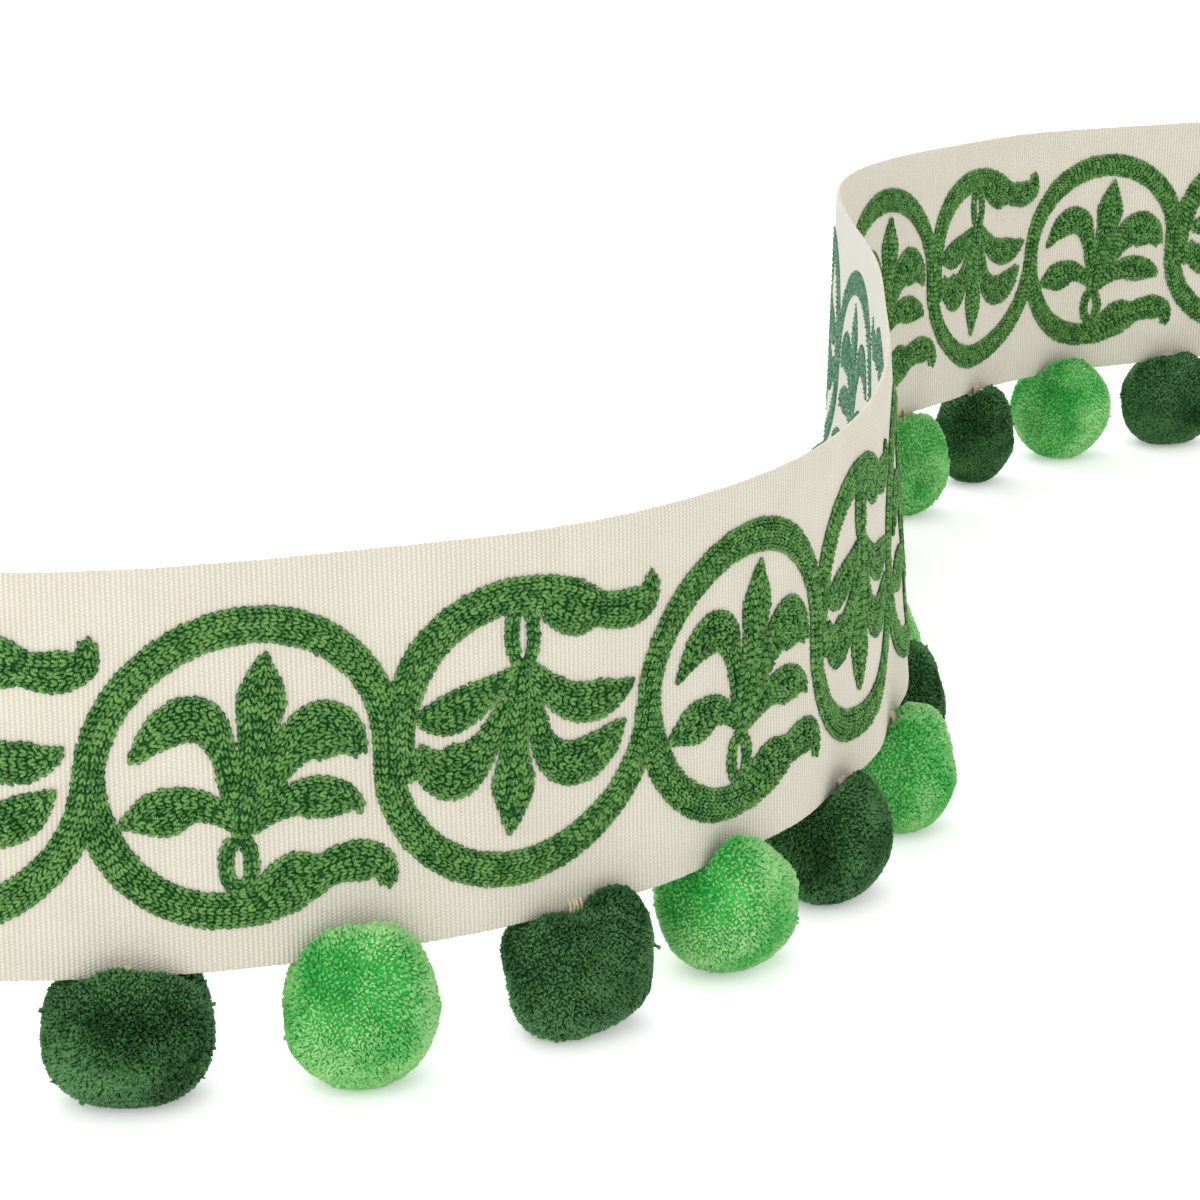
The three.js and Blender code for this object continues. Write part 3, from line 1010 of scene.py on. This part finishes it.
def spiral(count):
    """Even directions over a sphere."""
    k = np.arange(count) + 0.5
    rise = 1 - 2 * k / count
    turn = np.pi * (1 + 5**0.5) * k
    flat = np.sqrt(1 - rise**2)
    return np.stack([flat * np.cos(turn), flat * np.sin(turn), rise], -1)


def combed(points, phase):
    """A smooth direction field, by which the pile leans."""
    x, y, z = (points / (LEAN_PATCH * MM)).T
    return np.stack([np.sin(y + phase), np.sin(z + 2 * phase), np.sin(x - phase) - 0.3], -1)


def tufts_on(node, number, hem):
    """The points of the tufts of one pompom, four to a tuft: two at the root and two at the end."""
    solid = bvh_of(node)
    low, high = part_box(node.name)
    centre = (low + high) / 2
    jitter = random.normal(0, SPREAD_ASTRAY, (TUFTS, 3))
    hits, normals = [], []
    for direction in unit(spiral(TUFTS) + jitter):
        direction = Vector(direction)
        place, normal, _, _ = solid.ray_cast(centre + direction * RAY_FROM * MM, -direction)
        if place is not None and place.z > ROOTS_ABOVE * MM:
            hits.append(place)
            normals.append((normal + direction).normalized())
    hits, normals = swollen(np.array(hits), number), np.array(normals)
    clear = np.array([hem.find_nearest(Vector(place))[3] > 2 * HEM_GAP * MM for place in hits])
    hits, normals = hits[clear], normals[clear]
    way = combed(hits, LEAN_PHASE * number)
    lean = unit(normals + LEAN * way * random.uniform(*LEANS, (len(hits), 1)))
    over = random.uniform(-1, 1, len(hits)) * TUFT_OVER
    over = np.where(random.random(len(hits)) < STRAY_SHARE, STRAY_OVER, over)
    root = hits - normals * PILE_DEPTH * MM
    end = root + lean * (PILE_DEPTH + over)[:, None] * MM
    turn = random.uniform(0, 2 * np.pi, (len(hits), 1))
    level = unit(np.cross(lean, [0.3, 0.2, 0.9]))
    steep = np.cross(lean, level)
    half = random.uniform(*TUFT_WIDTHS, (len(hits), 1)) * TUFT_HALF * MM
    edge = (level * np.cos(turn) + steep * np.sin(turn)) * half
    across = (steep * np.cos(turn) - level * np.sin(turn)) * half
    points = np.stack([root - across, root + across, end - edge, end + edge], 1)
    points[..., 2] = np.maximum(points[..., 2], ABOVE_FLOOR * MM)
    return points


hem = bvh_of(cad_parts["tape"])
print("tufts tried on each pompom:", TUFTS)

# %% [markdown]
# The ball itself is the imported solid. Its points are merged, Remesh makes its faces even, and it is
# drawn in by part of the depth of the pile, so that it closes the view between the tufts. Ball and
# tufts are then joined to one piece in one colour of pile.

# %% The pompoms
POMPOMS = 16
CORE_VOXEL = 1.5
CORE_INSET = 0.6
CORE_TIP_IN_SHADE = 0.3
MERGE = 0.001

for number in range(1, POMPOMS + 1):
    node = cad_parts[f"pompom_{number:02d}"]
    core = bpy.data.objects.new(f"core_{number:02d}", node.data.copy())
    core.data.materials.clear()
    bpy.context.collection.objects.link(core)
    bpy.ops.object.select_all(action="DESELECT")
    core.select_set(True)
    bpy.context.view_layer.objects.active = core
    select_all_points()
    bpy.ops.mesh.remove_doubles(threshold=MERGE * MM)
    bpy.ops.object.mode_set(mode="OBJECT")
    remesh = core.modifiers.new("fine", "REMESH")
    remesh.mode = "VOXEL"
    remesh.voxel_size = CORE_VOXEL * MM
    bpy.ops.object.modifier_apply(modifier=remesh.name)
    normals = np.array([point.normal for point in core.data.vertices])
    inner = swollen(np.array([point.co for point in core.data.vertices]), number)
    inner -= normals * PILE_DEPTH * CORE_INSET * MM
    inner[:, 2] = np.maximum(inner[:, 2], ABOVE_FLOOR * MM)
    core.data.vertices.foreach_set("co", inner.ravel())
    # The ball takes a colour partway from root to end, darker than the ends: painted shade between the
    # tufts.
    tip = core.data.attributes.new("tip", "FLOAT", "POINT")
    tip.data.foreach_set("value", np.full(len(inner), CORE_TIP_IN_SHADE))
    material = bright_pile if number % 2 == 1 else dark_pile
    core.data.materials.append(material)
    core.data.shade_smooth()

    points = tufts_on(node, number, hem)
    piece = joined(f"pile_{number:02d}", points, TUFT_FACES, np.zeros((4, 3)), material)
    tip = np.tile([0.0, 0.0, 1.0, 1.0], len(points))
    piece.data.attributes.new("tip", "FLOAT", "POINT").data.foreach_set("value", tip)
    bpy.ops.object.select_all(action="DESELECT")
    core.select_set(True)
    piece.select_set(True)
    bpy.context.view_layer.objects.active = piece
    bpy.ops.object.join()
    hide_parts(node.name)
    "pom_bright" if number % 2 == 1 else "pom_dark"

# %% [markdown]
# Each pompom is bound to the hem by a few turns of thread that pass under the edge and back through the
# cloth. One turn is a ring, made once and set side by side, each a little askew.

# %% The bindings
TURNS = 4
TURN_PITCH = 0.85
THREAD_RADIUS = 0.4
RING_HALF_DEPTH = 1.35
RING_LOW, RING_HIGH = -1.15, 2.1
ASKEW = 0.12
THREAD_TWIST = 0.5
THREAD_RELIEF = 0.15
THREAD_DARK, THREAD_LIGHT = (0.42, 0.33, 0.20), (0.74, 0.66, 0.50)

thread_finish = Finish("binding thread")
twist = thread_finish.noise(THREAD_TWIST * MM, 2)
thread = thread_finish.surface(
    thread_finish.blend(twist * 1.6 - 0.3, THREAD_DARK, THREAD_LIGHT), 0.8, twist, THREAD_RELIEF * MM
)

bpy.ops.object.select_all(action="DESELECT")
bpy.ops.mesh.primitive_torus_add(
    major_radius=1 * MM, minor_radius=THREAD_RADIUS * MM, major_segments=14, minor_segments=5
)
ring = bpy.context.object
ring_points, ring_faces = measured(ring)
spoke = ring_points[:, :2] / np.linalg.norm(ring_points[:, :2], axis=1)[:, None]
tube = ring_points[:, :2] - spoke
height = (RING_HIGH - RING_LOW) / 2
for number in range(1, POMPOMS + 1):
    near = mark_of_tie(number)
    turns = []
    for k in range(TURNS):
        askew = random.uniform(-ASKEW, ASKEW)
        v = (RING_HIGH + RING_LOW) / 2 + spoke[:, 1] * height + tube[:, 1]
        w = spoke[:, 0] * RING_HALF_DEPTH + tube[:, 0]
        s = near + (k - (TURNS - 1) / 2) * TURN_PITCH + ring_points[:, 2] + askew * spoke[:, 1] * height
        turns.append(on_tape(s, v, w))
    piece = joined(f"binding_{number:02d}", np.array(turns), ring_faces, ring_points, thread)
    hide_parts(f"tie_{number:02d}")
print("bindings:", POMPOMS, "of", TURNS, "turns")

# %% [markdown]
# The tape stands here on the pompoms and nothing holds it down.

# %% [markdown]
# The trim stands on a plain white table that runs out of view. Light comes from a large soft
# source above and behind, so soft shadows fall towards the viewer. The pale surroundings fill the
# rest, with a faint painted glow in the table's surface that lifts its shadows and the pompoms' undersides.

# %% Floor and light
TABLE_SIZE = 12
TABLE_WHITE = (0.92, 0.92, 0.92, 1)
PAINTED_FLOOR_GLOW = 0.3
WHITE = (1, 1, 1, 1)
SURROUNDINGS = 1.02
LAMP_SIZE = 1.6
LAMP_POWER = 8

bpy.ops.object.select_all(action="DESELECT")
bpy.ops.mesh.primitive_plane_add(size=TABLE_SIZE)
floor = bpy.context.object
floor.name = "floor"
floor_finish = Finish("white table with painted glow")
# The table's emission is a painted glow: it is no lamp, and it lifts the shadows on the table.
floor.data.materials.append(
    floor_finish.surface(TABLE_WHITE, 0.9, Emission_Color=WHITE, Emission_Strength=PAINTED_FLOOR_GLOW)
)

world = bpy.context.scene.world or bpy.data.worlds.new("surroundings")
bpy.context.scene.world = world
world.use_nodes = True
world.node_tree.nodes["Background"].inputs["Color"].default_value = WHITE
world.node_tree.nodes["Background"].inputs["Strength"].default_value = SURROUNDINGS


def soft_light(name, place, aim):
    bpy.ops.object.light_add(type="AREA", location=place)
    lamp = bpy.context.object
    lamp.name = name
    lamp.data.shape = "DISK"
    lamp.data.size = LAMP_SIZE
    lamp.data.energy = LAMP_POWER
    lamp.rotation_euler = (Vector(aim) - Vector(place)).to_track_quat("-Z", "Y").to_euler()


soft_light("key", (-0.5, 0.9, 1.4), (0, 0, 0))
soft_light("fill", (-0.6, -1.3, 0.9), (0, 0, 0.05))

# %% [markdown]
# The camera looks along the near half of the tape from a little above, with a long lens.

# %% Camera
CAMERA_PLACE = (-29.891, -787.829, 270.94)
CAMERA_PITCH = 17.5556
LENS = 98.92
SENSOR = 36
SIGHT = 20

camera_data = bpy.data.cameras.new("camera")
camera_data.lens = LENS
camera_data.sensor_width = SENSOR
camera_data.clip_end = SIGHT
camera = bpy.data.objects.new("camera", camera_data)
camera.location = [x * MM for x in CAMERA_PLACE]
camera.rotation_euler = (math.radians(90 - CAMERA_PITCH), 0, 0)
bpy.context.collection.objects.link(camera)
bpy.context.scene.camera = camera
bpy.context.scene.view_settings.view_transform = "Standard"
print("camera at, mm:", CAMERA_PLACE)
